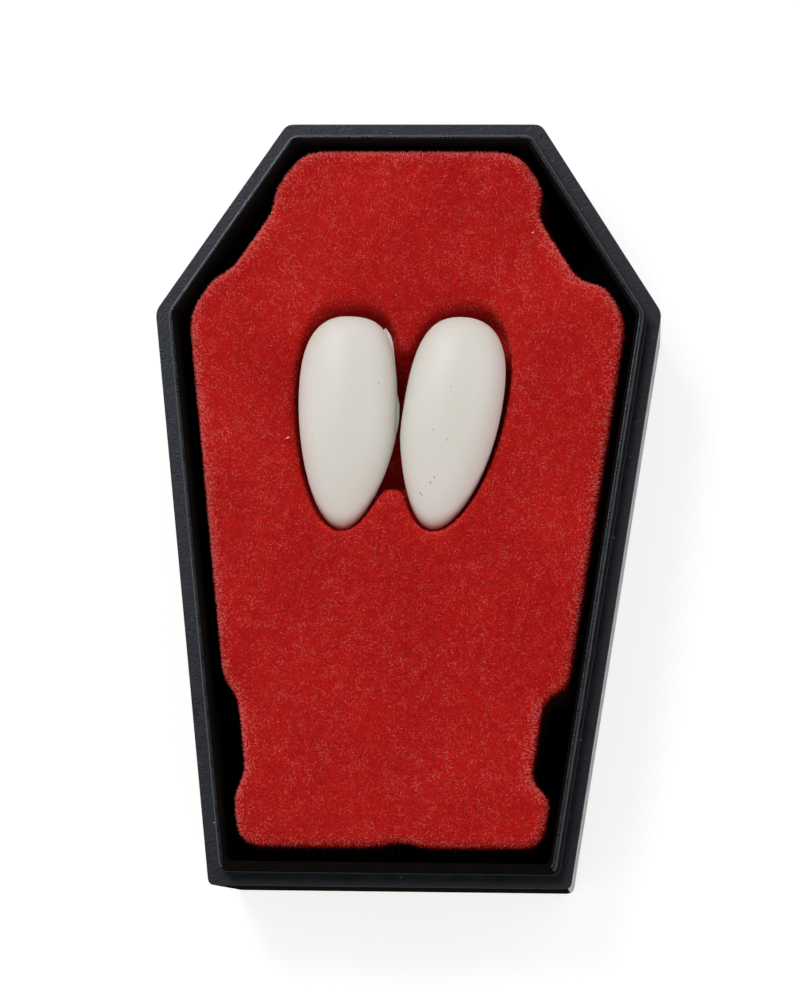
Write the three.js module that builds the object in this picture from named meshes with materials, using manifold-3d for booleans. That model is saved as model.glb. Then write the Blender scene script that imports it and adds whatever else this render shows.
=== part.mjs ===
// A pair of vampire fang caps lying in the flocked insert of a coffin-shaped display tray.
// Millimetres. +Z is up, +Y points to the coffin's head end, +X to the right seen from above.
// The origin is the centre of the tray's footprint, on the surface that it stands on.
import * as THREE from 'three';
import Module from 'manifold-3d';

const wasm = await Module();
wasm.setup();

// Coffin outline, at the widest level of the tray
const trayLength = 71.5;
const headHalfWidth = 11.9;
const shoulderHalfWidth = 23.6;
const footHalfWidth = 16.7;
const shoulderFromHead = 17.8;
const trayCornerReach = 0.6;

// Tray walls
const ledgeHeight = 10.3;
const ledgeWidth = 1.3;
const lipHeight = 1.86;
const lipThickness = 0.7;
const lipFall = 0.35;
const lipDraft = 0.08;
const outerDraft = 1.08;
const innerDraft = 0.14;
const floorThickness = 1.4;
const baseChamfer = 0.3;

// Insert: a formed shell whose wall counts the sheet and the pile of fibres on it
const insertWall = 1.3;
const insertDrop = 0.8;
const insertSeat = 0.3;
const insertDraft = 0.1;
const insertEdgeRadius = 0.9;
const headGap = 0.36;
const leftDiagonalGap = 0.5;
const rightDiagonalGap = 0.87;
const sideGap = 0.9;
const footGap = 1.5;
const leftHeadReach = 2.8;
const rightHeadReach = 4.2;
const shoulderReach = 6;
const leftFootReach = 4.4;
const rightFootReach = 3.4;

// Edge notches of the insert. They start and end at shares of the edge's length, counted from
// its head end, and reach their depth within the ramp's share of it. depth is in millimetres.
const diagonalNotch = {
  left: { startShare: 0.25, endShare: 0.785, rampShare: 0.09, depth: 1.0 },
  right: { startShare: 0.24, endShare: 0.79, rampShare: 0.08, depth: 1.8 },
};
const sideNotch = {
  left: { startShare: 0.687, endShare: 0.905, rampShare: 0.040, depth: 1.25 },
  right: { startShare: 0.693, endShare: 0.905, rampShare: 0.030, depth: 2.2 },
};
const footNotch = { width: 4.7, depth: 0.65, shift: 0.8 };
const notchReach = 1.1;

// Fang caps. Shares along a fang run from its gum end to its tip. leanAngle is in degrees, bow
// is how far the middle of the centre line stands to the right, and the inner side is the one
// towards the other fang. Each side is widest at a share of its own, and from there it narrows
// to the gum end by its fullness and to the tip by its taper.
const fangLength = 19.7;
const fangHalfWidth = 4.61;
const fangFront = 4.0;
const fangBack = 3.4;
const fangTipDrop = 1.5;
const fangGap = 0.3;
const fangSink = 0.5;
const tipFullness = 1.9;
const curlStartShare = 0.43;
const gumEndFromHead = 18.5;
const pairShift = -0.43;
const leftFang = {
  leanAngle: 0.5,
  bow: 0.31,
  outer: { widestShare: 0.40, fullness: 2.5, taper: 1.76 },
  inner: { widestShare: 0.56, fullness: 3.5, taper: 1.23 },
};
const rightFang = {
  leanAngle: 6.5,
  bow: 0.44,
  outer: { widestShare: 0.35, fullness: 2.54, taper: 2.07 },
  inner: { widestShare: 0.54, fullness: 2.74, taper: 1.28 },
};

// Tooth socket, an oval hollow in the back of each cap
const socketSideWall = 1.4;
const socketGumWall = 1.4;
const socketFrontWall = 1.3;
const socketLengthShare = 0.54;
const socketDomeShare = 0.7;

// Recess for the fangs. The seat gap is below the full round of a fang's back, of which the
// socket cuts the lowest part away.
const recessGap = 0.25;
const recessSeatGap = 0.12;
const recessHeadSlope = 1.5;
const recessRimRadius = 0.6;
const recessFloorRadius = 0.8;

// The part of the recess between the fangs. It reaches under each fang by this share of the
// fang's width on that side, and its ends bulge inwards as a tongue between the gum ends and a
// mound between the tips.
const bridgeReachShare = 0.5;
const tongueShare = 0.09;
const tongueLength = 1.8;
const moundShare = 0.835;
const moundLength = 1.0;

// Facets
const trayCornerSteps = 3;
const insertCornerSteps = 4;
const roundSteps = 3;
const fangSides = 28;
const fangSteps = 22;
const socketSides = 24;
const socketDomeSteps = 5;
const recessSteps = 14;
const bridgeSteps = 8;
const cutPast = 1;

const blackPlastic = { color: 0x101114, roughness: 0.35, metalness: 0 };
const redFlock = { color: 0xb01a1c, roughness: 0.95, metalness: 0 };
const fangResin = { color: 0xdcdbd3, roughness: 0.5, metalness: 0 };

// Levels and places that follow from the sizes
const headY = trayLength / 2;
const lipInset = ledgeWidth + lipDraft;
const wallInset = lipInset + lipThickness;
const lipTop = ledgeHeight + lipHeight;
const insertTop = lipTop - insertDrop;
const insertBase = floorThickness + insertSeat;
const fangLevel = insertTop - fangSink;
const recessFloor = fangLevel - fangBack - recessSeatGap;

// A closed solid through rings of points. A ring of one point closes an end to a tip, and a
// flat ring at an end is closed by a cap.
function skin(rings) {
  const positions = [];
  const triangles = [];
  const starts = [];
  for (const ring of rings) {
    starts.push(positions.length / 3);
    for (const point of ring) positions.push(point.x, point.y, point.z);
  }
  for (let row = 0; row + 1 < rings.length; row++) {
    const count = Math.max(rings[row].length, rings[row + 1].length);
    const at = (ring, index) => starts[ring] + (rings[ring].length === 1 ? 0 : index % count);
    for (let index = 0; index < count; index++) {
      const [a, b] = [at(row, index), at(row, index + 1)];
      const [d, c] = [at(row + 1, index), at(row + 1, index + 1)];
      if (a !== b) triangles.push(a, b, c);
      if (c !== d) triangles.push(a, c, d);
    }
  }
  for (const [row, facesBack] of [[0, true], [rings.length - 1, false]]) {
    if (rings[row].length === 1) continue;
    const outline = rings[row].map((point) => new THREE.Vector2(point.x, point.y));
    for (const [a, b, c] of THREE.ShapeUtils.triangulateShape(outline, [])) {
      const face = facesBack ? [a, c, b] : [a, b, c];
      triangles.push(...face.map((index) => starts[row] + index));
    }
  }
  const geometry = new THREE.BufferGeometry();
  geometry.setAttribute('position', new THREE.Float32BufferAttribute(positions, 3));
  geometry.setIndex(triangles);
  return geometry;
}

function toManifold(geometry) {
  const mesh = new wasm.Mesh({
    numProp: 3,
    vertProperties: new Float32Array(geometry.attributes.position.array),
    triVerts: new Uint32Array(geometry.index.array),
  });
  return new wasm.Manifold(mesh);
}

function toGeometry(manifold) {
  const mesh = manifold.getMesh();
  const geometry = new THREE.BufferGeometry();
  geometry.setAttribute('position', new THREE.Float32BufferAttribute(mesh.vertProperties, 3));
  geometry.setIndex(new THREE.Uint32BufferAttribute(mesh.triVerts, 1));
  return geometry;
}

function piece(name, geometry, finish) {
  geometry.computeVertexNormals();
  const mesh = new THREE.Mesh(geometry, new THREE.MeshStandardMaterial(finish));
  mesh.name = name;
  return mesh;
}

const ringAt = (outline, z) => outline.map((point) => new THREE.Vector3(point.x, point.y, z));

// The point where two lines meet, each given by a point on it and its direction
function meet(pointA, directionA, pointB, directionB) {
  const along = pointB.clone().sub(pointA).cross(directionB) / directionA.cross(directionB);
  return pointA.clone().addScaledVector(directionA, along);
}

// Corners of the coffin outline, counter-clockwise from the head's right corner, with each
// edge moved inward by its own amount
function coffin({ head, leftDiagonal, rightDiagonal, side, foot }) {
  const shoulderY = headY - shoulderFromHead;
  const corners = [
    new THREE.Vector2(headHalfWidth, headY),
    new THREE.Vector2(-headHalfWidth, headY),
    new THREE.Vector2(-shoulderHalfWidth, shoulderY),
    new THREE.Vector2(-footHalfWidth, -headY),
    new THREE.Vector2(footHalfWidth, -headY),
    new THREE.Vector2(shoulderHalfWidth, shoulderY),
  ];
  const moves = [head, leftDiagonal, side, foot, side, rightDiagonal];
  const edges = corners.map((corner, index) => {
    const direction = corners[(index + 1) % corners.length].clone().sub(corner).normalize();
    const inward = new THREE.Vector2(-direction.y, direction.x);
    return { direction, start: corner.clone().addScaledVector(inward, moves[index]) };
  });
  return edges.map((edge, index) => {
    const before = edges[(index + edges.length - 1) % edges.length];
    return meet(before.start, before.direction, edge.start, edge.direction);
  });
}

// Rounds each corner of an outline by a curve that starts `reach` before the corner, or
// nearly halfway to the next corner where that is nearer
function rounded(corners, steps) {
  const longestShare = 0.46;
  const outline = [];
  corners.forEach(({ point, reach }, index) => {
    const before = corners[(index + corners.length - 1) % corners.length].point;
    const after = corners[(index + 1) % corners.length].point;
    const nearest = Math.min(before.distanceTo(point), after.distanceTo(point));
    const length = Math.min(reach, nearest * longestShare);
    const from = point.clone().add(before.clone().sub(point).setLength(length));
    const to = point.clone().add(after.clone().sub(point).setLength(length));
    outline.push(...new THREE.QuadraticBezierCurve(from, point, to).getPoints(steps));
  });
  return outline;
}

// Moves each point of a counter-clockwise outline inward, square to the outline there
function inset(outline, distance) {
  return outline.map((point, index) => {
    const before = outline[(index + outline.length - 1) % outline.length];
    const after = outline[(index + 1) % outline.length];
    const incoming = point.clone().sub(before).normalize();
    const outgoing = after.clone().sub(point).normalize();
    const inward = new THREE.Vector2(-incoming.y - outgoing.y, incoming.x + outgoing.x);
    return point.clone().addScaledVector(inward, 2 * distance / inward.lengthSq());
  });
}

// The tray: one skin from the base up the outside, over ledge and lip, and down to the floor
function tray() {
  const level = (moved, z) => {
    const even = { head: moved, leftDiagonal: moved, rightDiagonal: moved, side: moved, foot: moved };
    const soft = coffin(even).map((point) => ({ point, reach: trayCornerReach }));
    return ringAt(rounded(soft, trayCornerSteps), z);
  };
  return skin([
    level(outerDraft + baseChamfer, 0),
    level(outerDraft, baseChamfer),
    level(0, ledgeHeight),
    level(ledgeWidth, ledgeHeight),
    level(lipInset, lipTop),
    level(wallInset, lipTop - lipFall),
    level(wallInset + innerDraft, floorThickness),
  ]);
}

// The four corners of a notch in the edge from one corner to the next
function notch(from, to, { startShare, endShare, rampShare, depth }) {
  const along = to.clone().sub(from);
  const inward = new THREE.Vector2(-along.y, along.x).normalize();
  const stations = [
    [startShare, 0],
    [startShare + rampShare, depth],
    [endShare - rampShare, depth],
    [endShare, 0],
  ];
  return stations.map(([share, sink]) => {
    const point = from.clone().addScaledVector(along, share).addScaledVector(inward, sink);
    return { point, reach: notchReach };
  });
}

// The same notch on an edge that is walked from its foot end
const fromFoot = (edge) => ({ ...edge, startShare: 1 - edge.endShare, endShare: 1 - edge.startShare });

function footNotchCorners(footY) {
  const { width, depth, shift } = footNotch;
  const stations = [[-width / 2, 0], [0, depth], [width / 2, 0]];
  return stations.map(([across, sink]) => {
    return { point: new THREE.Vector2(shift + across, footY + sink), reach: notchReach };
  });
}

// The insert's outline from above, counter-clockwise
function insertOutline() {
  const [headRight, headLeft, shoulderLeft, footLeft, footRight, shoulderRight] = coffin({
    head: wallInset + headGap,
    leftDiagonal: wallInset + leftDiagonalGap,
    rightDiagonal: wallInset + rightDiagonalGap,
    side: wallInset + sideGap,
    foot: wallInset + footGap,
  });
  const corners = [
    { point: headRight, reach: rightHeadReach },
    { point: headLeft, reach: leftHeadReach },
    ...notch(headLeft, shoulderLeft, diagonalNotch.left),
    { point: shoulderLeft, reach: shoulderReach },
    ...notch(shoulderLeft, footLeft, sideNotch.left),
    { point: footLeft, reach: leftFootReach },
    ...footNotchCorners(footLeft.y),
    { point: footRight, reach: rightFootReach },
    ...notch(footRight, shoulderRight, fromFoot(sideNotch.right)),
    { point: shoulderRight, reach: shoulderReach },
    ...notch(shoulderRight, headRight, fromFoot(diagonalNotch.right)),
  ];
  return rounded(corners, insertCornerSteps);
}

// How far a side of a fang stands out at a share of its length, as a share of its widest
function sideWidth({ widestShare, fullness, taper }, along) {
  if (along < widestShare) {
    const back = (widestShare - along) / widestShare;
    return (1 - back ** fullness) ** (1 / fullness);
  }
  const on = (along - widestShare) / (1 - widestShare);
  return (1 - on ** taper) ** (1 / tipFullness);
}

// A fang's shape as functions of the share along it: its centre line, the width on its left
// (-1) and right (1) as shares of the half width, and its height as a share of the highest.
// The fang on one side, -1 or 1, stands half the gap off the line between the two where it
// comes nearest to it.
function fangShape(fangSide, { leanAngle, bow, outer, inner }) {
  const slope = Math.tan(THREE.MathUtils.degToRad(leanAngle));
  const across = (along) => bow * Math.sin(Math.PI * along) - slope * along * fangLength;
  const width = (side, along) => sideWidth(side === fangSide ? outer : inner, along);
  const height = (along) => (width(-1, along) + width(1, along)) / 2;
  const samples = 80;
  let reach = -Infinity;
  for (let step = 0; step <= samples; step++) {
    const along = step / samples;
    const innerWidth = fangHalfWidth * width(-fangSide, along);
    reach = Math.max(reach, innerWidth - fangSide * across(along));
  }
  const gumX = pairShift + fangSide * (reach + fangGap / 2);
  const centre = (along) => {
    const curl = Math.max(0, (along - curlStartShare) / (1 - curlStartShare));
    return new THREE.Vector3(
      gumX + across(along),
      headY - gumEndFromHead - along * fangLength,
      fangLevel - fangTipDrop * curl ** 2,
    );
  };
  return { fangSide, centre, width, height };
}

// Shares from 0 to 1, closer together at both ends
const shareAt = (step, steps) => (1 - Math.cos(Math.PI * step / steps)) / 2;

// The outside of a fang, as rings from the gum end to the tip
function fangBody({ centre, width, height }) {
  const rings = [[centre(0)]];
  for (let step = 1; step < fangSteps; step++) {
    const along = shareAt(step, fangSteps);
    const middle = centre(along);
    const ring = [];
    for (let index = 0; index < fangSides; index++) {
      const angle = 2 * Math.PI * index / fangSides;
      const [across, up] = [Math.cos(angle), Math.sin(angle)];
      const point = middle.clone();
      point.x += fangHalfWidth * width(Math.sign(across), along) * across;
      point.z += (up > 0 ? fangFront : fangBack) * height(along) * up;
      ring.push(point);
    }
    rings.push(ring);
  }
  rings.push([centre(1)]);
  return skin(rings);
}

// The tooth socket: an oval hollow from below the back up into the cap, with a domed end
function socket({ centre }) {
  const halfLength = fangLength * socketLengthShare / 2;
  const middle = centre((socketGumWall + halfLength) / fangLength);
  const top = fangLevel + fangFront - socketFrontWall;
  const domeHeight = (top - fangLevel) * socketDomeShare;
  const oval = (share, z) => {
    const ring = [];
    for (let index = 0; index < socketSides; index++) {
      const angle = 2 * Math.PI * index / socketSides;
      const x = middle.x + (fangHalfWidth - socketSideWall) * share * Math.cos(angle);
      ring.push(new THREE.Vector3(x, middle.y + halfLength * share * Math.sin(angle), z));
    }
    return ring;
  };
  const rings = [oval(1, fangLevel - fangBack - cutPast)];
  for (let step = 0; step < socketDomeSteps; step++) {
    const angle = Math.PI / 2 * step / socketDomeSteps;
    rings.push(oval(Math.cos(angle), top - domeHeight * (1 - Math.sin(angle))));
  }
  rings.push([new THREE.Vector3(middle.x, middle.y, top)]);
  return skin(rings);
}

function fang(shape) {
  const body = toManifold(fangBody(shape));
  return toGeometry(body.subtract(toManifold(socket(shape))));
}

// The outline of one fang from above, counter-clockwise, with a gap round it and room past its
// gum end
function lobe({ centre, width }, gap, room) {
  const edge = (side, along) => {
    const middle = centre(along);
    const past = THREE.MathUtils.lerp(room + gap, -gap, along);
    return new THREE.Vector2(middle.x + side * (fangHalfWidth + gap) * width(side, along), middle.y + past);
  };
  const left = [];
  const right = [];
  for (let step = 0; step <= recessSteps; step++) {
    const along = shareAt(step, recessSteps);
    right.push(edge(1, along));
    if (step > 0 && step < recessSteps) left.push(edge(-1, along));
  }
  return [...left, ...right.reverse()];
}

// The outline of the hollow between the fangs, counter-clockwise from the tongue's right end
function bridge(leftShape, rightShape, gap) {
  const inside = ({ fangSide, centre, width }, share, past) => {
    const middle = centre(share);
    const reach = fangHalfWidth * width(-fangSide, share) * (1 - bridgeReachShare);
    return new THREE.Vector2(middle.x - fangSide * reach, middle.y + past);
  };
  const arc = (from, to, bulge) => {
    const control = from.clone().add(to).divideScalar(2);
    control.y += 2 * bulge;
    return new THREE.QuadraticBezierCurve(from, control, to).getPoints(bridgeSteps);
  };
  const tongueEnds = [rightShape, leftShape].map((shape) => inside(shape, tongueShare, gap));
  const moundEnds = [leftShape, rightShape].map((shape) => inside(shape, moundShare, -gap));
  return [...arc(...tongueEnds, -tongueLength), ...arc(...moundEnds, moundLength)];
}

// The hollow over an outline that is a function of the gap round it and the room at its head
// end, from the hollow's rounded floor to above the insert's top. The room grows with height,
// so that the head end slopes. Grown by the insert's wall it is the outside of the bulge under
// the recess.
function recess(outline, growth) {
  const rings = [];
  const addRing = (moved, z) => {
    const share = THREE.MathUtils.clamp((z - recessFloor) / (insertTop - recessFloor), 0, 1);
    rings.push(ringAt(outline(recessGap + growth + moved, share * recessHeadSlope), z));
  };
  for (let step = 0; step <= roundSteps; step++) {
    const angle = Math.PI / 2 * step / roundSteps;
    const rise = recessFloorRadius * (1 - Math.cos(angle));
    addRing(-recessFloorRadius * (1 - Math.sin(angle)), recessFloor - growth + rise);
  }
  for (let step = 0; step <= roundSteps; step++) {
    const angle = Math.PI / 2 * step / roundSteps;
    const below = recessRimRadius * (1 - Math.sin(angle));
    addRing(recessRimRadius * (1 - Math.cos(angle)), insertTop - below);
  }
  addRing(recessRimRadius, insertTop + cutPast);
  return toManifold(skin(rings));
}

// The insert: drafted sides, a rounded top edge, a hollow underside and the two-lobed recess
function insert(leftShape, rightShape) {
  const outline = insertOutline();
  const recessOutlines = [
    (gap, room) => lobe(leftShape, gap, room),
    (gap, room) => lobe(rightShape, gap, room),
    (gap) => bridge(leftShape, rightShape, gap),
  ];
  const outer = [ringAt(inset(outline, -insertDraft), insertBase)];
  for (let step = 0; step <= roundSteps; step++) {
    const angle = Math.PI / 2 * step / roundSteps;
    const below = insertEdgeRadius * (1 - Math.sin(angle));
    outer.push(ringAt(inset(outline, insertEdgeRadius * (1 - Math.cos(angle))), insertTop - below));
  }
  let hollow = toManifold(skin([
    ringAt(inset(outline, insertWall - insertDraft), insertBase - cutPast),
    ringAt(inset(outline, insertWall), insertTop - insertWall),
  ]));
  for (const part of recessOutlines) hollow = hollow.subtract(recess(part, insertWall));
  let shell = toManifold(skin(outer)).subtract(hollow);
  for (const part of recessOutlines) shell = shell.subtract(recess(part, 0));
  return toGeometry(shell);
}

const leftShape = fangShape(-1, leftFang);
const rightShape = fangShape(1, rightFang);

const group = new THREE.Group();
group.add(piece('coffin_tray', tray(), blackPlastic));
group.add(piece('flocked_insert', insert(leftShape, rightShape), redFlock));
group.add(piece('fang_left', fang(leftShape), fangResin));
group.add(piece('fang_right', fang(rightShape), fangResin));

export default group;
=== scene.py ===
"""A pair of fang caps in the flocked insert of a coffin-shaped tray, dressed for the photograph.

The frame is the part's own: metres, +Z up, +Y to the coffin's head end, the tray on z = 0.
Sizes of details are given in millimetres and turned into metres by MM.
"""
import math

import bmesh
import bpy
import numpy as np
from mathutils import Matrix, Vector, noise
from mathutils.bvhtree import BVHTree
from mathutils.kdtree import KDTree


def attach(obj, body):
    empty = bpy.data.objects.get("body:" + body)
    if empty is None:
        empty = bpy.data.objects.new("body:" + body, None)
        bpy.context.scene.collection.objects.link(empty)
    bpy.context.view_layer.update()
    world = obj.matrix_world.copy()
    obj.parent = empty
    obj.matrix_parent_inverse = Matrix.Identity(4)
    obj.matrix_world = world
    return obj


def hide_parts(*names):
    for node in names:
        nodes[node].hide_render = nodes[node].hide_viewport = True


MM = 0.001

# Camera, as turns from looking straight down with the head end up
CAMERA_YAW = math.radians(8.03)
CAMERA_PITCH = math.radians(10.92)
CAMERA_ROLL = math.radians(1.86)
CAMERA_OFFSET = Vector((0.125, 0.276, 825.831)) * MM
CAMERA_AIM = Vector((0, -0.26, 12.16)) * MM
CAMERA_SENSOR = 36
CAMERA_LENS = 9000 / 997 * CAMERA_SENSOR

# Light. Each end of a sky pair is the cosine between a direction and the aim, and the strength
# there. The sky is even but for a dim gap overhead, which the black plastic's sheen shows.
SKY_COLOR = (1.0, 0.995, 0.985)
SKY_AIM = Vector((-0.55, 0.83, 0.0))
SKY_SIDE = ((-0.7, 1.20), (0.7, 1.05))
GAP_AIM = Vector((-0.137, 0.189, 0.972))
GAP_SHARE = ((math.cos(math.radians(54)), 1.0), (math.cos(math.radians(30)), 0.06))
LAMP_PLACE = Vector((-0.27, 0.44, 0.62))
LAMP_SIZE = 0.40
LAMP_POWER = 2.55
PANEL_PLACE = Vector((-0.10, 0.12, 0.14))
PANEL_SIZE = 0.12
PANEL_POWER = 0.10
FLOOR_COLOR = (0.45, 0.45, 0.448)
FLOOR_GLOW_COLOR = (1.0, 1.0, 0.995)
FLOOR_GLOW = 0.70
FLOOR_ROUGHNESS = 0.9
FLOOR_SIZE = 1.2
FLOOR_DROP = 0.02

# Ranges of a noise's values that a pattern uses, and the full range of a share
WIDE = (0.3, 0.7)
TIGHT = (0.35, 0.65)
SHARE = (0.0, 1.0)

# Tray. Angles under FLAT_ANGLE are facets of one flat side, and over SHARP_ANGLE real edges.
TRAY_BEVEL = 0.14
LIP_BEVEL = 0.42
BEVEL_STEPS = 3
FLAT_ANGLE = math.radians(1)
SHARP_ANGLE = math.radians(35)
NORMAL_WEIGHT = 80
TRAY_COLOR = (0.002, 0.0022, 0.003)
TRAY_SHINE = (0.80, 0.86, 1.0)
TRAY_IOR = 1.5
# Roughness away from the ledge and on it, how far from its level it fades, and its changes
TRAY_ROUGHNESS = (0.30, 0.46)
LEDGE_LEVEL = 10.3
LEDGE_FADE = (0.10, 0.22)
WEAR_SIZE = 1.2
WEAR_CHANGE = (-0.10, 0.12)
# Dust: specks in cells of 1 / DUST_SCALE millimetres, with a core and an edge in cell widths
DUST_COLOR = (0.10, 0.10, 0.11)
DUST_SCALE = 0.55
DUST_REACH = (0.030, 0.060)
# Size and depth of the plastic's fine and broad relief
TRAY_GRAIN = (0.20, 0.030)
TRAY_WAVES = (1.6, 0.03)
# The matt copy: painted shade with no sheen, its colours warmed by a painted reflection of the red flock
SHADED_MATT_COLORS = ((0.0060, 0.0042, 0.0040), (0.0045, 0.0036, 0.0035))
MATT_ROUGHNESS = 0.9
MATT_CLOUD_SIZE = 2.0
# Which faces get the matt copy, painted shade in place of the sheen: slopes of the inner side,
# levels of the floor and the lip, the foot's start
INSIDE_FACING = (-0.50, 0.97)
LEVEL_FACING = 0.9
FLOOR_LIMIT = 3.0
LIP_START = 10.6
FOOT_START = -34.0
FOOT_SIDEWAYS = 0.3
# Scuffs and a crumb on the ledge: colour, place, reach and thickness of each
SCUFF_COLORS = {"pale_scuff": DUST_COLOR, "crumb": (0.70, 0.70, 0.70)}
SCUFFS = [
    ("pale_scuff", (2.85, 35.27, 10.31), (1.05, 0.31, 0.0), 0.040),
    ("pale_scuff", (21.20, 7.50, 10.31), (0.62, 0.30, 0.0), 0.035),
    ("pale_scuff", (21.55, 8.00, 10.31), (0.40, -0.34, 0.0), 0.030),
    ("crumb", (-16.42, -30.00, 10.33), (0.12, 0.06, 0.0), 0.050),
]

# Flock: the sheet under the fibres, sunk so far that the fibres end at the insert's surface
SKIN_VOXEL = 0.45
SKIN_SMOOTHING = 4
SKIN_SINK = 0.28
SKIN_COLORS = ((0.56, 0.009, 0.008), (0.77, 0.019, 0.015))
SKIN_ROUGHNESS = 0.95
SKIN_SPECULAR = 0.2
SPECKLE_SIZE = 0.16
SPECKLE_DEPTH = 0.12
# The fibres: how many, how long and thick, and how far each leans with the pile and by itself
FLOCK_SEED = 7
FLOCK_PIECES = 4
FIBRES_PER_PIECE = 45000
FIBRE_LENGTH = (0.26, 0.44)
FIBRE_RADIUS = (0.032, 0.046)
FIBRE_ROUNDNESS = 0.3
FIBRE_ROUGHNESS = 0.75
FIBRE_SPECULAR = 0.2
PILE_LEAN = 0.9
PILE_SPREAD = 0.42
LEAN_SIZE = 7
# Lengths on slopes steeper than EDGE_FACING, as shares: along the outer edge and in the recess
EDGE_FACING = 0.75
EDGE_LENGTH_SHARE = 0.75
RECESS_LENGTH_SHARE = 0.45
# Fibres that lie loose on the pile, and how far their halves bend
LOOSE_FIBRES = 3600
LOOSE_LENGTH = (0.10, 0.20)
LOOSE_RADIUS = (0.020, 0.034)
LOOSE_BEND = 0.5
# Neighbouring fibres have like tints: the size of such clumps, and how alike they are
CLUMP_SIZE = 0.9
CLUMP_SHARE = 0.30
LAST_DRAW = 0.999
# How much the shading faces up, on level ground and in the recess or on the rim
UPWARD_SHADING = 0.7
RECESS_SHADING = 2.0
# How dense the fibres are on an upright side and, at the least, deep down on it
UPRIGHT_DENSITY = 0.35
LEAST_DENSITY = 0.004
SKY_RAY_LIFT = 0.08
# Painted shade down the insert's outer sides, which doesn't reach inside the recess
SHADE_DEPTHS = (0.6, 2.6)
SHADE_COLOR = (0.08, 0.003, 0.003)
RECESS_CENTRE = (-0.4, 7.4, 10.0)
RECESS_REACH = (12.5, 14.5)
# The soft edge of the recess: the depths between which it fades, and its smoothing
BRIM_DEPTHS = (1.0, 2.8)
BRIM_SMOOTHING = 24
# Painted sheen along the insert's rounded edge, a paler rim: the slopes that count as the edge, how far in
# the rim reaches, which way it is strongest, its middle share, and its gain towards that way
RIM_FACING = (0.30, 0.75)
RIM_REACH = 1.25
SHEEN_AIM = (-0.25, 0.97, 0.0)
SHEEN_MIDDLE = 0.8
SHEEN_GAIN = 0.6
# Tints: name, colour, and shares on level ground, on the rim, and among the loose fibres. The orange and
# pink tints are painted glints of fibres catching the light, and the pale one is the rim's painted sheen.
FLOCK_TINTS = [
    ("deep", (0.69, 0.0045, 0.0045), 0.48, 0.00, 0.00),
    ("red", (0.76, 0.010, 0.008), 0.28, 0.00, 0.15),
    ("orange", (0.84, 0.056, 0.029), 0.17, 0.05, 0.60),
    ("pink", (0.86, 0.135, 0.108), 0.07, 0.20, 0.25),
    ("pale", (1.00, 0.185, 0.170), 0.00, 0.75, 0.00),
]
# Lint on the flock: colour, place, reach and thickness of each thread
LINT_COLORS = {
    "pale_lint": (0.92, 0.62, 0.58),
    "hair_lint": (0.45, 0.30, 0.24),
    "dark_lint": (0.10, 0.01, 0.01),
}
LINT = [
    ("pale_lint", (-10.82, 5.72, 11.62), (0.46, 0.10, 0.03), 0.07),
    ("pale_lint", (11.45, 25.10, 11.62), (0.30, 0.14, 0.03), 0.05),
    ("hair_lint", (-13.20, 5.58, 11.62), (0.75, 0.62, 0.02), 0.025),
    ("hair_lint", (-12.45, 6.20, 11.64), (0.42, -0.16, -0.01), 0.025),
    ("dark_lint", (-0.32, 25.68, 11.62), (0.34, 0.06, 0.02), 0.06),
]

# Fangs
FANG_VOXEL = 0.19
FANG_SMOOTHING = 12
FANG_COLOR = (0.70, 0.675, 0.615)
FANG_CLOUD_COLOR = (0.715, 0.69, 0.645)
FANG_CLOUD_SIZE = 5.0
FANG_ROUGHNESS = 0.5
# How much light goes into the resin, how far in each colour as shares, and how deep
RESIN_SHARE = 0.25
RESIN_SPREAD = (1.0, 0.55, 0.35)
RESIN_DEPTH = 0.8
# Size and depth of the resin's relief
FANG_GRAIN = (0.25, 0.008)
# Specks in the resin: fang, place and radius. They are found from straight above.
SPECK_COLOR = (0.46, 0.44, 0.38)
SPECK_RISE = 0.012
SPECK_SIDES = 10
SPECK_SEARCH_LEVEL = 20.6
FANG_SPECKS = [
    ("fang_left", -2.00, 10.50, 0.09),
    ("fang_right", 4.87, 9.96, 0.07),
    ("fang_right", 3.28, 6.01, 0.07),
    ("fang_right", 4.63, 5.11, 0.08),
    ("fang_right", 3.37, 1.82, 0.11),
    ("fang_right", 2.99, 1.38, 0.12),
    ("fang_right", 2.14, 0.36, 0.10),
    ("fang_right", 1.96, 0.56, 0.12),
]
# The moulding flash down the left fang's right side, as places along its edge and its width
FLASH_LEVEL = 10.9
FLASH_THICKNESS = 0.9
FLASH_EDGE = [
    (-2.14, 16.04, 0.30),
    (-1.92, 16.28, 1.00),
    (-1.62, 15.92, 1.20),
    (-1.38, 15.50, 1.20),
    (-1.18, 14.84, 1.20),
    (-1.06, 14.04, 1.20),
    (-0.95, 13.24, 1.20),
    (-0.90, 12.24, 1.00),
    (-0.83, 11.24, 0.80),
    (-0.70, 10.24, 0.60),
    (-0.50, 9.60, 0.60),
    (-0.40, 9.00, 0.60),
    (-0.37, 8.00, 0.60),
    (-0.42, 7.20, 0.50),
    (-0.58, 6.40, 0.40),
    (-0.90, 5.60, 0.20),
]


# Meshes

def new_object(name, mesh):
    """Links a mesh to the scene under a name."""
    obj = bpy.data.objects.new(name, mesh)
    bpy.context.scene.collection.objects.link(obj)
    return obj


def welded_copy(name, node):
    """A new object with a CAD node's mesh, its doubled vertices joined."""
    work = bmesh.new()
    work.from_mesh(node.data)
    bmesh.ops.remove_doubles(work, verts=work.verts, dist=0.001 * MM)
    for face in work.faces:
        face.smooth = True
        face.material_index = 0
    mesh = bpy.data.meshes.new(name)
    work.to_mesh(mesh)
    work.free()
    return new_object(name, mesh)


def modifier(obj, kind, **settings):
    """Adds a modifier with its settings."""
    added = obj.modifiers.new(kind.lower(), kind)
    for setting, value in settings.items():
        setattr(added, setting, value)
    return added


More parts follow.
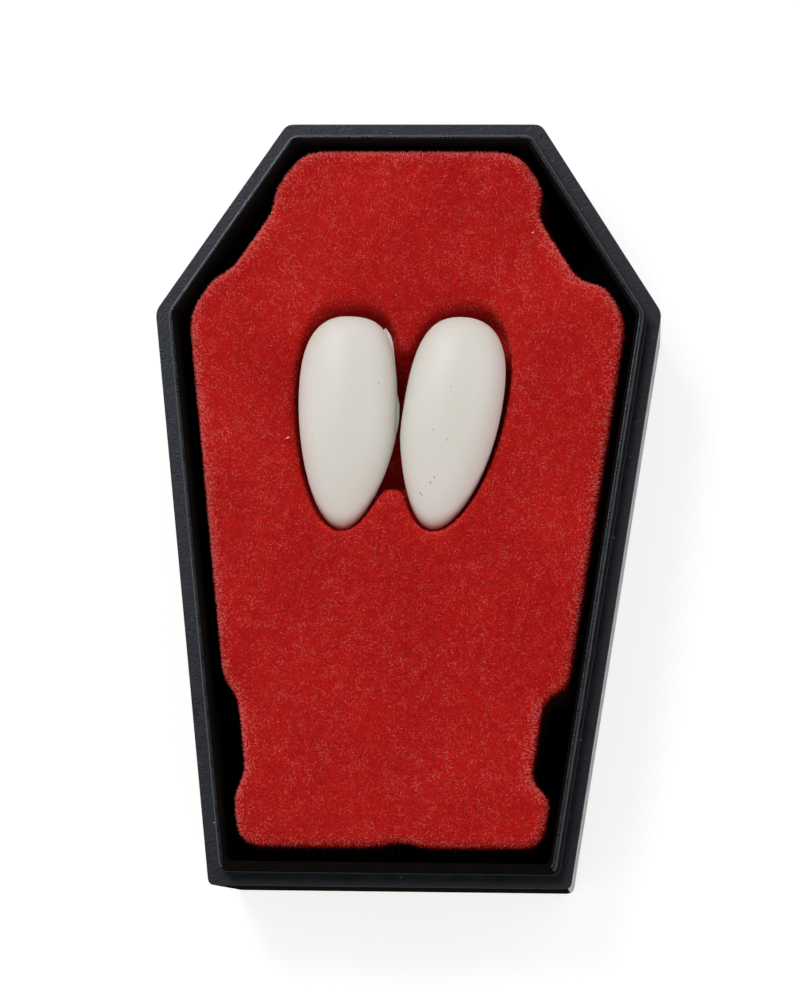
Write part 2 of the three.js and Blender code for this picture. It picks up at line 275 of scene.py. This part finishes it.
def applied(obj):
    """Turns an object's modifiers into its own mesh."""
    graph = bpy.context.evaluated_depsgraph_get()
    mesh = bpy.data.meshes.new_from_object(obj.evaluated_get(graph))
    obj.modifiers.clear()
    obj.data = mesh
    mesh.name = obj.name
    return obj


def wear(obj, *materials):
    """Gives an object its materials."""
    obj.data.materials.clear()
    for material in materials:
        obj.data.materials.append(material)


# Materials

class Finish:
    """A material around one Principled shader, with its pattern coordinates in millimetres."""

    def __init__(self, name, **sockets):
        self.material = bpy.data.materials.new(name)
        self.material.use_nodes = True
        self.tree = self.material.node_tree
        self.surface = self.tree.nodes["Principled BSDF"]
        for socket, value in sockets.items():
            self.surface.inputs[socket.replace("_", " ")].default_value = value

    def add(self, kind, inputs=None, **settings):
        """A new node with its settings, and its inputs joined or set."""
        node = self.tree.nodes.new(kind)
        for setting, value in settings.items():
            setattr(node, setting, value)
        for socket, value in (inputs or {}).items():
            self.join(value, node.inputs[socket])
        return node

    def join(self, value, socket):
        """Links an output to a socket, or sets the socket to a plain value."""
        if isinstance(value, bpy.types.NodeSocket):
            self.tree.links.new(value, socket)
        else:
            socket.default_value = value

    def place(self, stretch=(1, 1, 1), turn=0.0):
        """The place on the object in millimetres, stretched and turned about Z."""
        coordinates = self.add("ShaderNodeTexCoord").outputs["Object"]
        scale = [share / MM for share in stretch]
        inputs = {"Vector": coordinates, "Scale": scale, "Rotation": (0, 0, turn)}
        return self.add("ShaderNodeMapping", inputs, vector_type="POINT").outputs["Vector"]

    def height(self):
        """The height on the object in millimetres."""
        return self.add("ShaderNodeSeparateXYZ", {"Vector": self.place()}).outputs["Z"]

    def noise(self, size, detail=2.0, stretch=(1, 1, 1), turn=0.0):
        """Soft noise whose lumps are about `size` millimetres across."""
        inputs = {"Vector": self.place(stretch, turn), "Scale": 1 / size, "Detail": detail}
        return self.add("ShaderNodeTexNoise", inputs).outputs["Fac"]

    def remap(self, value, source, target):
        """Stretches a value from one range to another, held at the ends."""
        inputs = {"Value": value, "From Min": source[0], "From Max": source[1],
                  "To Min": target[0], "To Max": target[1]}
        return self.add("ShaderNodeMapRange", inputs).outputs["Result"]

    def blend(self, share, first, second):
        """The first colour where the share is 0 and the second where it is 1."""
        node = self.add("ShaderNodeMix", data_type="RGBA")
        self.join(share, node.inputs["Factor"])
        self.join(first, node.inputs[6])
        self.join(second, node.inputs[7])
        return node.outputs[2]

    def bump(self, height, depth, under=None):
        """Relief of a given depth in millimetres, on top of an earlier relief."""
        inputs = {"Height": height, "Distance": depth * MM, "Strength": 1.0}
        if under is not None:
            inputs["Normal"] = under
        return self.add("ShaderNodeBump", inputs).outputs["Normal"]

    def feed(self, **sockets):
        """Joins values to the shader's sockets."""
        for socket, value in sockets.items():
            self.join(value, self.surface.inputs[socket.replace("_", " ")])


def rgba(color):
    """A colour with full cover."""
    return (*color, 1.0)


def plastic_finish():
    """Black moulded plastic, rougher on the ledge, with fine grain and a little dust."""
    finish = Finish("black_plastic", IOR=TRAY_IOR, Specular_Tint=rgba(TRAY_SHINE))
    off_ledge = finish.add("ShaderNodeMath", {0: finish.height(), 1: LEDGE_LEVEL}, operation="SUBTRACT")
    distance = finish.add("ShaderNodeMath", {0: off_ledge.outputs[0]}, operation="ABSOLUTE")
    ledge = finish.remap(distance.outputs[0], LEDGE_FADE, (1.0, 0.0))
    base_roughness = finish.remap(ledge, SHARE, TRAY_ROUGHNESS)
    change = finish.remap(finish.noise(WEAR_SIZE, detail=8.0), WIDE, WEAR_CHANGE)
    roughness = finish.add("ShaderNodeMath", {0: base_roughness, 1: change}, operation="ADD")
    dust_field = finish.add("ShaderNodeTexVoronoi", {"Vector": finish.place(), "Scale": DUST_SCALE})
    dust = finish.remap(dust_field.outputs["Distance"], DUST_REACH, (1.0, 0.0))
    grain_size, grain_depth = TRAY_GRAIN
    wave_size, wave_depth = TRAY_WAVES
    grain = finish.bump(finish.noise(grain_size, detail=3.0), grain_depth)
    finish.feed(Base_Color=finish.blend(dust, rgba(TRAY_COLOR), rgba(DUST_COLOR)),
                Roughness=roughness.outputs[0],
                Normal=finish.bump(finish.noise(wave_size, detail=3.0), wave_depth, grain))
    return finish.material


def shaded_matt_plastic_finish():
    """A matt copy of the plastic with no sheen, as painted shade inside the tray and on the lip and
    outside of the foot.
    """
    finish = Finish("black_plastic_shaded_matt", Roughness=MATT_ROUGHNESS, Specular_IOR_Level=0.0)
    shade = finish.remap(finish.noise(MATT_CLOUD_SIZE, detail=3.0), WIDE, SHARE)
    finish.feed(Base_Color=finish.blend(shade, rgba(SHADED_MATT_COLORS[0]), rgba(SHADED_MATT_COLORS[1])))
    return finish.material


def skin_finish(top):
    """The flocked sheet under the fibres: red with speckles, and painted shade down its sides."""
    finish = Finish("red_flock", Roughness=SKIN_ROUGHNESS, Specular_IOR_Level=SKIN_SPECULAR)
    speckle = finish.noise(SPECKLE_SIZE, detail=2.0)
    color = finish.blend(finish.remap(speckle, TIGHT, SHARE), rgba(SKIN_COLORS[0]), rgba(SKIN_COLORS[1]))
    near, far = SHADE_DEPTHS
    lit = finish.remap(finish.height(), (top - far, top - near), SHARE)
    from_recess = finish.add("ShaderNodeVectorMath", {0: finish.place(), 1: RECESS_CENTRE},
                             operation="DISTANCE").outputs["Value"]
    in_recess = finish.remap(from_recess, RECESS_REACH, (1.0, 0.0))
    shade = finish.add("ShaderNodeMath", {0: lit, 1: in_recess}, operation="MAXIMUM").outputs[0]
    finish.feed(Base_Color=finish.blend(shade, rgba(SHADE_COLOR), color),
                Normal=finish.bump(speckle, SPECKLE_DEPTH))
    return finish.material


def fibre_finish(name, color):
    """One plain matt colour, of fibres, lint, scuffs or specks."""
    return Finish(f"flock_{name}", Base_Color=rgba(color), Roughness=FIBRE_ROUGHNESS,
                  Specular_IOR_Level=FIBRE_SPECULAR).material


def resin_finish():
    """Matt ivory resin."""
    finish = Finish("fang_resin", Roughness=FANG_ROUGHNESS, Subsurface_Weight=RESIN_SHARE,
                    Subsurface_Radius=RESIN_SPREAD, Subsurface_Scale=RESIN_DEPTH * MM)
    clouds = finish.remap(finish.noise(FANG_CLOUD_SIZE, detail=3.0), TIGHT, SHARE)
    grain_size, grain_depth = FANG_GRAIN
    finish.feed(Base_Color=finish.blend(clouds, rgba(FANG_COLOR), rgba(FANG_CLOUD_COLOR)),
                Normal=finish.bump(finish.noise(grain_size, detail=3.0), grain_depth))
    return finish.material


# Pieces

def shaded_matt_side(face):
    """Whether a face of the tray gets the painted-shade matt copy: inside it, on the foot's lip or outside
    the foot.
    """
    centre, normal = face.calc_center_median(), face.normal
    faces_in = normal.x * centre.x + normal.y * centre.y < 0
    inner_side = faces_in and INSIDE_FACING[0] < normal.z < INSIDE_FACING[1]
    on_floor = normal.z > LEVEL_FACING and centre.z < FLOOR_LIMIT * MM
    at_foot = centre.y < FOOT_START * MM and abs(normal.x) < FOOT_SIDEWAYS
    foot_lip = at_foot and centre.z > LIP_START * MM
    return inner_side or on_floor or foot_lip or normal.y < -LEVEL_FACING


def rounded(work, edges, reach):
    """Rounds edges of a mesh to a reach in millimetres."""
    bmesh.ops.bevel(work, geom=edges, offset=reach * MM, segments=BEVEL_STEPS, profile=0.5,
                    affect="EDGES", clamp_overlap=True)


def make_tray(node):
    """The tray with its edges rounded as a moulding's are, the lip's ridge more than the rest."""
    tray = welded_copy("tray", node)
    wear(tray, plastic_finish(), shaded_matt_plastic_finish())
    work = bmesh.new()
    work.from_mesh(tray.data)
    bmesh.ops.dissolve_limit(work, angle_limit=FLAT_ANGLE, verts=work.verts, edges=work.edges)
    ridge = max(vertex.co.z for vertex in work.verts) - 0.01 * MM
    rounded(work, [edge for edge in work.edges if min(v.co.z for v in edge.verts) > ridge], LIP_BEVEL)
    sharp = [edge for edge in work.edges if edge.calc_face_angle(0) > SHARP_ANGLE]
    rounded(work, sharp, TRAY_BEVEL)
    for face in work.faces:
        face.smooth = True
        # Faces inside the tray and at the foot take the matt copy, painted shade
        face.material_index = int(shaded_matt_side(face))
    work.to_mesh(tray.data)
    work.free()
    modifier(tray, "WEIGHTED_NORMAL", keep_sharp=False, weight=NORMAL_WEIGHT)
    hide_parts("coffin_tray")
    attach(tray, "root")
    return tray


def insert_top(node):
    """The level of the insert's top in millimetres."""
    return max(vertex.co.z for vertex in node.data.vertices) / MM


def make_skin(node):
    """The flocked sheet, a little inside the CAD solid, with a soft brim round the recess."""
    skin = welded_copy("flock_skin", node)
    modifier(skin, "REMESH", mode="VOXEL", voxel_size=SKIN_VOXEL * MM, use_smooth_shade=True)
    modifier(skin, "SMOOTH", factor=0.5, iterations=SKIN_SMOOTHING)
    modifier(skin, "DISPLACE", strength=-SKIN_SINK * MM, mid_level=0.0)
    applied(skin)
    places = np.array([vertex.co for vertex in skin.data.vertices])
    depth = insert_top(node) - SKIN_SINK - places[:, 2] / MM
    near, far = BRIM_DEPTHS
    softness = np.clip((far - depth) / (far - near), 0, 1) * near_recess(places)
    brim = skin.vertex_groups.new(name="brim")
    for index in np.nonzero(softness)[0].tolist():
        brim.add([index], softness[index], "REPLACE")
    modifier(skin, "SMOOTH", factor=0.5, iterations=BRIM_SMOOTHING, vertex_group="brim")
    applied(skin)
    wear(skin, skin_finish(insert_top(node)))
    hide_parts("flocked_insert")
    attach(skin, "root")
    return skin


def mesh_triangles(mesh):
    """Corner places and corner normals of a mesh's triangles, as arrays."""
    mesh.calc_loop_triangles()
    places = np.zeros(len(mesh.vertices) * 3)
    mesh.vertices.foreach_get("co", places)
    normals = np.zeros(len(mesh.vertices) * 3)
    mesh.vertices.foreach_get("normal", normals)
    corners = np.zeros(len(mesh.loop_triangles) * 3, dtype=int)
    mesh.loop_triangles.foreach_get("vertices", corners)
    corners = corners.reshape(-1, 3)
    return places.reshape(-1, 3)[corners], normals.reshape(-1, 3)[corners]


def open_above(mesh, centres, normals):
    """Whether each place has nothing of the mesh straight above it."""
    tree = BVHTree.FromPolygons([v.co for v in mesh.vertices], [p.vertices for p in mesh.polygons])
    starts = centres + normals * SKY_RAY_LIFT * MM
    up = Vector((0, 0, 1))
    return np.array([tree.ray_cast(Vector(start), up)[0] is None for start in starts])


def near_recess(places):
    """A share that is 1 inside the recess for the fangs and 0 away from it."""
    near, far = RECESS_REACH
    reach = np.linalg.norm(places / MM - RECESS_CENTRE, axis=1)
    return np.clip((far - reach) / (far - near), 0, 1)


def scatter(mesh, count, random):
    """Evenly spread places over the parts of a mesh that are open above, with their normals."""
    places, normals = mesh_triangles(mesh)
    centres = places.mean(axis=1)
    facing = normals.mean(axis=1)
    sides = np.cross(places[:, 1] - places[:, 0], places[:, 2] - places[:, 0])
    area = np.linalg.norm(sides, axis=1) / 2
    density = np.clip(UPRIGHT_DENSITY + facing[:, 2], 0, 1)
    depth = centres[:, 2].max() - centres[:, 2]
    near, far = SHADE_DEPTHS
    lit = np.clip((far * MM - depth) / ((far - near) * MM), LEAST_DENSITY, 1)
    density *= np.maximum(lit, near_recess(centres))
    weight = area * density * open_above(mesh, centres, facing)
    reached = np.cumsum(weight) / weight.sum()
    steps = (np.arange(count) + random.random(count)) / count
    chosen = np.minimum(np.searchsorted(reached, steps), len(weight) - 1)
    first, second = np.sqrt(random.random(count)), random.random(count)
    shares = np.stack([1 - first, first * (1 - second), first * second], axis=1)[..., None]
    place = (places[chosen] * shares).sum(axis=1)
    normal = (normals[chosen] * shares).sum(axis=1)
    order = random.permutation(count)
    return place[order], (normal / np.linalg.norm(normal, axis=1, keepdims=True))[order]


def pile_lay(place):
    """The direction in which the pile leans at each place, from slow noise."""
    return np.array([noise.noise_vector(Vector(point) / (LEAN_SIZE * MM)) for point in place])


def spikes(name, place, direction, radius, facing):
    """One mesh of closed three-sided spikes, shaded as the surface that they stand on."""
    count = len(place)
    across = np.cross(direction, (0.31, 0.52, 0.79))
    across /= np.linalg.norm(across, axis=1, keepdims=True)
    axis = direction / np.linalg.norm(direction, axis=1, keepdims=True)
    other = np.cross(axis, across)
    corners, normals = [], []
    for turn in (0, 2 * math.pi / 3, 4 * math.pi / 3):
        side = across * math.cos(turn) + other * math.sin(turn)
        corners.append(place + side * radius[:, None])
        normals.append(facing + side * FIBRE_ROUNDNESS)
    corners.append(place + direction)
    normals.append(facing)
    vertices = np.stack(corners, axis=1).reshape(-1, 3)
    faces = np.array([[0, 1, 3], [1, 2, 3], [2, 0, 3], [2, 1, 0]])
    triangles = (np.arange(count)[:, None, None] * 4 + faces).reshape(-1)
    mesh = bpy.data.meshes.new(name)
    mesh.vertices.add(len(vertices))
    mesh.vertices.foreach_set("co", vertices.ravel().astype(np.float32))
    mesh.loops.add(len(triangles))
    mesh.loops.foreach_set("vertex_index", triangles.astype(np.int32))
    mesh.polygons.add(count * 4)
    mesh.polygons.foreach_set("loop_start", np.arange(0, count * 12, 3, dtype=np.int32))
    mesh.update(calc_edges=True)
    shading = np.stack(normals, axis=1).reshape(-1, 3)
    shading /= np.linalg.norm(shading, axis=1, keepdims=True)
    mesh.normals_split_custom_set_from_vertices(shading)
    return new_object(name, mesh)


def tint_spikes(obj, materials, tint):
    """Gives each spike of a mesh one of the materials."""
    wear(obj, *materials)
    obj.data.polygons.foreach_set("material_index", np.repeat(tint, 4).astype(np.int32))
    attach(obj, "root")


def clumps(place):
    """A small shift for each place, from noise, by which neighbouring fibres are alike."""
    return CLUMP_SHARE * np.array([noise.noise(Vector(point) / (CLUMP_SIZE * MM)) for point in place])


def pick_tints(shares, draw):
    """A tint for each fibre from its draw, in the given shares."""
    limits = np.cumsum(shares)[:-1] / sum(shares)
    return np.searchsorted(limits, np.clip(draw, 0, LAST_DRAW))


def sheen_rim_share(mesh, place):
    """How much painted sheen each place gets on the rim, from how near the insert's edge is and its side.
    """
    places = np.array([vertex.co for vertex in mesh.vertices])
    normals = np.array([vertex.normal for vertex in mesh.vertices])
    slanted = (normals[:, 2] > RIM_FACING[0]) & (normals[:, 2] < RIM_FACING[1])
    edge = np.nonzero(slanted & (near_recess(places) == 0))[0]
    tree = KDTree(len(edge))
    for index in edge.tolist():
        tree.insert(places[index], index)
    tree.balance()
    nearest, distance = zip(*[tree.find(point)[1:] for point in place])
    reach = np.clip(1 - np.array(distance) / (RIM_REACH * MM), 0, 1) ** 2
    return reach * np.clip(SHEEN_MIDDLE + SHEEN_GAIN * (normals[list(nearest)] @ SHEEN_AIM), 0, 1)


def make_flock(skin):
    """The pile: many short fibres over the skin, in pieces of equal size, and loose ones on it."""
    random = np.random.default_rng(FLOCK_SEED)
    noise.seed_set(FLOCK_SEED)
    materials = [fibre_finish(name, color) for name, color, *_ in FLOCK_TINTS]
    level_shares, rim_shares, loose_shares = list(zip(*FLOCK_TINTS))[2:]
    count = FLOCK_PIECES * FIBRES_PER_PIECE
    place, normal = scatter(skin.data, count, random)
    jitter = random.normal(size=(count, 3))
    direction = normal + PILE_LEAN * pile_lay(place) + PILE_SPREAD * jitter
    direction /= np.linalg.norm(direction, axis=1, keepdims=True)
    direction *= random.uniform(*FIBRE_LENGTH, size=(count, 1)) * MM
    in_recess = near_recess(place)[:, None]
    on_edge = normal[:, 2] < EDGE_FACING
    edge_length = EDGE_LENGTH_SHARE + (RECESS_LENGTH_SHARE - EDGE_LENGTH_SHARE) * in_recess
    direction *= np.where(on_edge[:, None], edge_length, 1)
    radius = random.uniform(*FIBRE_RADIUS, size=count) * MM
    draw = random.random(count) + clumps(place)
    # Fibres near the rounded edge take the paler rim tints, a painted sheen
    rim = sheen_rim_share(skin.data, place)
    on_rim = random.random(count) < rim
    tint = np.where(on_rim, pick_tints(rim_shares, draw), pick_tints(level_shares, draw))
    upward = UPWARD_SHADING + (RECESS_SHADING - UPWARD_SHADING) * np.maximum(in_recess, rim[:, None])
    facing = normal + upward * (0, 0, 1)
    for piece in range(FLOCK_PIECES):
        part = slice(piece * FIBRES_PER_PIECE, (piece + 1) * FIBRES_PER_PIECE)
        flock = spikes(f"flock_{piece + 1}", place[part], direction[part], radius[part], facing[part])
        tint_spikes(flock, materials, tint[part])
    make_loose_fibres(skin, materials, loose_shares, random)


def make_loose_fibres(skin, materials, shares, random):
    """Fibres that lie on the pile, each of two halves that bend at its middle."""
    place, normal = scatter(skin.data, LOOSE_FIBRES, random)
    place = place + normal * FIBRE_LENGTH[0] * MM
    along = np.cross(normal, random.normal(size=(LOOSE_FIBRES, 3)))
    along /= np.linalg.norm(along, axis=1, keepdims=True)
    turned = LOOSE_BEND * np.cross(normal, along) * random.uniform(-1, 1, (LOOSE_FIBRES, 1))
    reach = random.uniform(*LOOSE_LENGTH, size=(LOOSE_FIBRES, 1)) * MM
    direction = np.concatenate([along + turned, turned - along]) * np.concatenate([reach, reach])
    radius = np.tile(random.uniform(*LOOSE_RADIUS, size=LOOSE_FIBRES) * MM, 2)
    loose = spikes("flock_loose", np.tile(place, (2, 1)), direction, radius, np.tile(normal, (2, 1)))
    tint_spikes(loose, materials, np.tile(pick_tints(shares, random.random(LOOSE_FIBRES)), 2))


def make_threads(name, rows, colors):
    """Single threads, scuffs or crumbs from a table, each thickest in its middle."""
    place = np.array([row[1] for row in rows]) * MM
    reach = np.array([row[2] for row in rows]) * MM
    radius = np.array([row[3] for row in rows]) * MM
    threads = spikes(name, np.tile(place + reach / 2, (2, 1)), np.concatenate([reach, -reach]) / 2,
                     np.tile(radius, 2), np.tile((0.0, 0.0, 1.0), (2 * len(rows), 1)))
    finishes = [fibre_finish(color_name, color) for color_name, color in colors.items()]
    tint = [list(colors).index(row[0]) for row in rows]
    tint_spikes(threads, finishes, np.tile(tint, 2))


def make_fang(node, finish):
    """A fang as one smooth casting, with its socket."""
    fang = welded_copy(f"{node.name}_cast", node)
    modifier(fang, "REMESH", mode="VOXEL", voxel_size=FANG_VOXEL * MM, use_smooth_shade=True)
    modifier(fang, "SMOOTH", factor=0.5, iterations=FANG_SMOOTHING)
    applied(fang)
    wear(fang, finish)
    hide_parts(node.name)
    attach(fang, "root")
    return fang


def make_specks(fangs, finish):
    """Small dark specks on the fangs' fronts, as flat discs that follow the surface."""
    work = bmesh.new()
    for name, x, y, radius in FANG_SPECKS:
        above = Vector((x, y, SPECK_SEARCH_LEVEL)) * MM
        hit, place, normal, _ = fangs[name].ray_cast(above, Vector((0, 0, -1)))
        if hit:
            turn = normal.to_track_quat("Z", "Y").to_matrix().to_4x4()
            lift = Matrix.Translation(place + normal * SPECK_RISE * MM)
            bmesh.ops.create_cone(work, segments=SPECK_SIDES, radius1=radius * MM, radius2=radius * MM / 2,
                                  depth=2 * SPECK_RISE * MM, cap_ends=True, matrix=lift @ turn)
    mesh = bpy.data.meshes.new("fang_specks")
    work.to_mesh(mesh)
    work.free()
    specks = new_object("fang_specks", mesh)
    wear(specks, finish)
    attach(specks, "root")


def make_flash(finish):
    """The thin jagged flash that stands out from the left fang's right side."""
    edge = [Vector((x, y, FLASH_LEVEL)) for x, y, _ in FLASH_EDGE]
    rings = []
    for index, (_, _, width) in enumerate(FLASH_EDGE):
        along = edge[min(index + 1, len(edge) - 1)] - edge[max(index - 1, 0)]
        out = Vector((-along.y, along.x, 0)).normalized()
        rise = Vector((0, 0, FLASH_THICKNESS / 2))
        root = edge[index] - out * width
        rings.append([(root - rise) * MM, edge[index] * MM, (root + rise) * MM])
    vertices = [corner for ring in rings for corner in ring]
    faces = [(0, 1, 2), tuple(len(vertices) - 3 + corner for corner in (2, 1, 0))]
    for ring in range(len(rings) - 1):
        for corner in range(3):
            after = (corner + 1) % 3
            faces.append(tuple(3 * ring + step for step in (corner, corner + 3, after + 3, after)))
    mesh = bpy.data.meshes.new("fang_left_flash")
    mesh.from_pydata(vertices, [], faces)
    flash = new_object("fang_left_flash", mesh)
    wear(flash, finish)
    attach(flash, "root")


# Stage

def make_floor():
    """A plain pale floor under the tray."""
    finish = Finish("floor", Base_Color=rgba(FLOOR_COLOR), Roughness=FLOOR_ROUGHNESS,
                    Emission_Color=rgba(FLOOR_GLOW_COLOR), Emission_Strength=FLOOR_GLOW)
    mesh = bpy.data.meshes.new("floor")
    half = FLOOR_SIZE / 2
    level = -FLOOR_DROP * MM
    corners = [(-half, -half, level), (half, -half, level), (half, half, level), (-half, half, level)]
    mesh.from_pydata(corners, [], [(0, 1, 2, 3)])
    floor = new_object("floor", mesh)
    wear(floor, finish.material)


def sky_share(tree, direction, aim, shares):
    """How strong the sky is in a direction, from the cosine between it and an aim."""
    cosine = tree.nodes.new("ShaderNodeVectorMath")
    cosine.operation = "DOT_PRODUCT"
    cosine.inputs[1].default_value = aim
    tree.links.new(direction, cosine.inputs[0])
    strength = tree.nodes.new("ShaderNodeMapRange")
    strength.interpolation_type = "SMOOTHSTEP"
    for end, (limit, share) in zip(("Min", "Max"), shares):
        strength.inputs[f"From {end}"].default_value = limit
        strength.inputs[f"To {end}"].default_value = share
    tree.links.new(cosine.outputs["Value"], strength.inputs["Value"])
    return strength.outputs["Result"]


def make_sky():
    """A white tent, nearly even round the sides and dim overhead."""
    world = bpy.data.worlds.new("sky")
    world.use_nodes = True
    tree = world.node_tree
    sky = tree.nodes["Background"]
    sky.inputs["Color"].default_value = rgba(SKY_COLOR)
    direction = tree.nodes.new("ShaderNodeTexCoord").outputs["Generated"]
    both = tree.nodes.new("ShaderNodeMath")
    both.operation = "MULTIPLY"
    tree.links.new(sky_share(tree, direction, SKY_AIM, SKY_SIDE), both.inputs[0])
    tree.links.new(sky_share(tree, direction, GAP_AIM, GAP_SHARE), both.inputs[1])
    tree.links.new(both.outputs[0], sky.inputs["Strength"])
    bpy.context.scene.world = world


def make_lamp(name, place, size, power):
    """A round soft lamp that faces the part."""
    data = bpy.data.lights.new(name, "AREA")
    data.shape = "DISK"
    data.size = size
    data.energy = power
    lamp = bpy.data.objects.new(name, data)
    bpy.context.scene.collection.objects.link(lamp)
    lamp.location = place
    lamp.rotation_euler = place.to_track_quat("Z", "Y").to_euler()
    return lamp


def make_light():
    """The sky, one large lamp at the upper left, and a panel that shows only as a sheen."""
    make_sky()
    make_lamp("lamp", LAMP_PLACE, LAMP_SIZE, LAMP_POWER)
    panel = make_lamp("panel", PANEL_PLACE, PANEL_SIZE, PANEL_POWER)
    panel.visible_diffuse = False


def make_camera():
    """The camera at the photograph's place."""
    data = bpy.data.cameras.new("camera")
    data.sensor_width = CAMERA_SENSOR
    data.lens = CAMERA_LENS
    camera = bpy.data.objects.new("camera", data)
    bpy.context.scene.collection.objects.link(camera)
    turn = (Matrix.Rotation(CAMERA_YAW, 4, "Y") @ Matrix.Rotation(CAMERA_PITCH, 4, "X")
            @ Matrix.Rotation(CAMERA_ROLL, 4, "Z"))
    camera.matrix_world = Matrix.Translation(turn @ CAMERA_OFFSET + CAMERA_AIM) @ turn
    bpy.context.scene.camera = camera


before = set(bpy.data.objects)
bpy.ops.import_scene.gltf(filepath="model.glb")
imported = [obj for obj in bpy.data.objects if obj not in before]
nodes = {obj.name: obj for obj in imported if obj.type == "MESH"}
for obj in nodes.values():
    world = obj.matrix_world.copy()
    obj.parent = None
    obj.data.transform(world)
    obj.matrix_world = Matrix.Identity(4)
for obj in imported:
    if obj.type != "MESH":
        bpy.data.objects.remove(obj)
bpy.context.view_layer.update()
bpy.context.scene.view_settings.view_transform = "Standard"
make_camera()
make_light()
make_floor()
make_tray(nodes["coffin_tray"])
flock_skin = make_skin(nodes["flocked_insert"])
make_flock(flock_skin)
make_threads("lint", LINT, LINT_COLORS)
make_threads("scuffs", SCUFFS, SCUFF_COLORS)
resin = resin_finish()
fang_casts = {name: make_fang(nodes[name], resin) for name in ("fang_left", "fang_right")}
make_flash(resin)
bpy.context.view_layer.update()
make_specks(fang_casts, fibre_finish("speck", SPECK_COLOR))
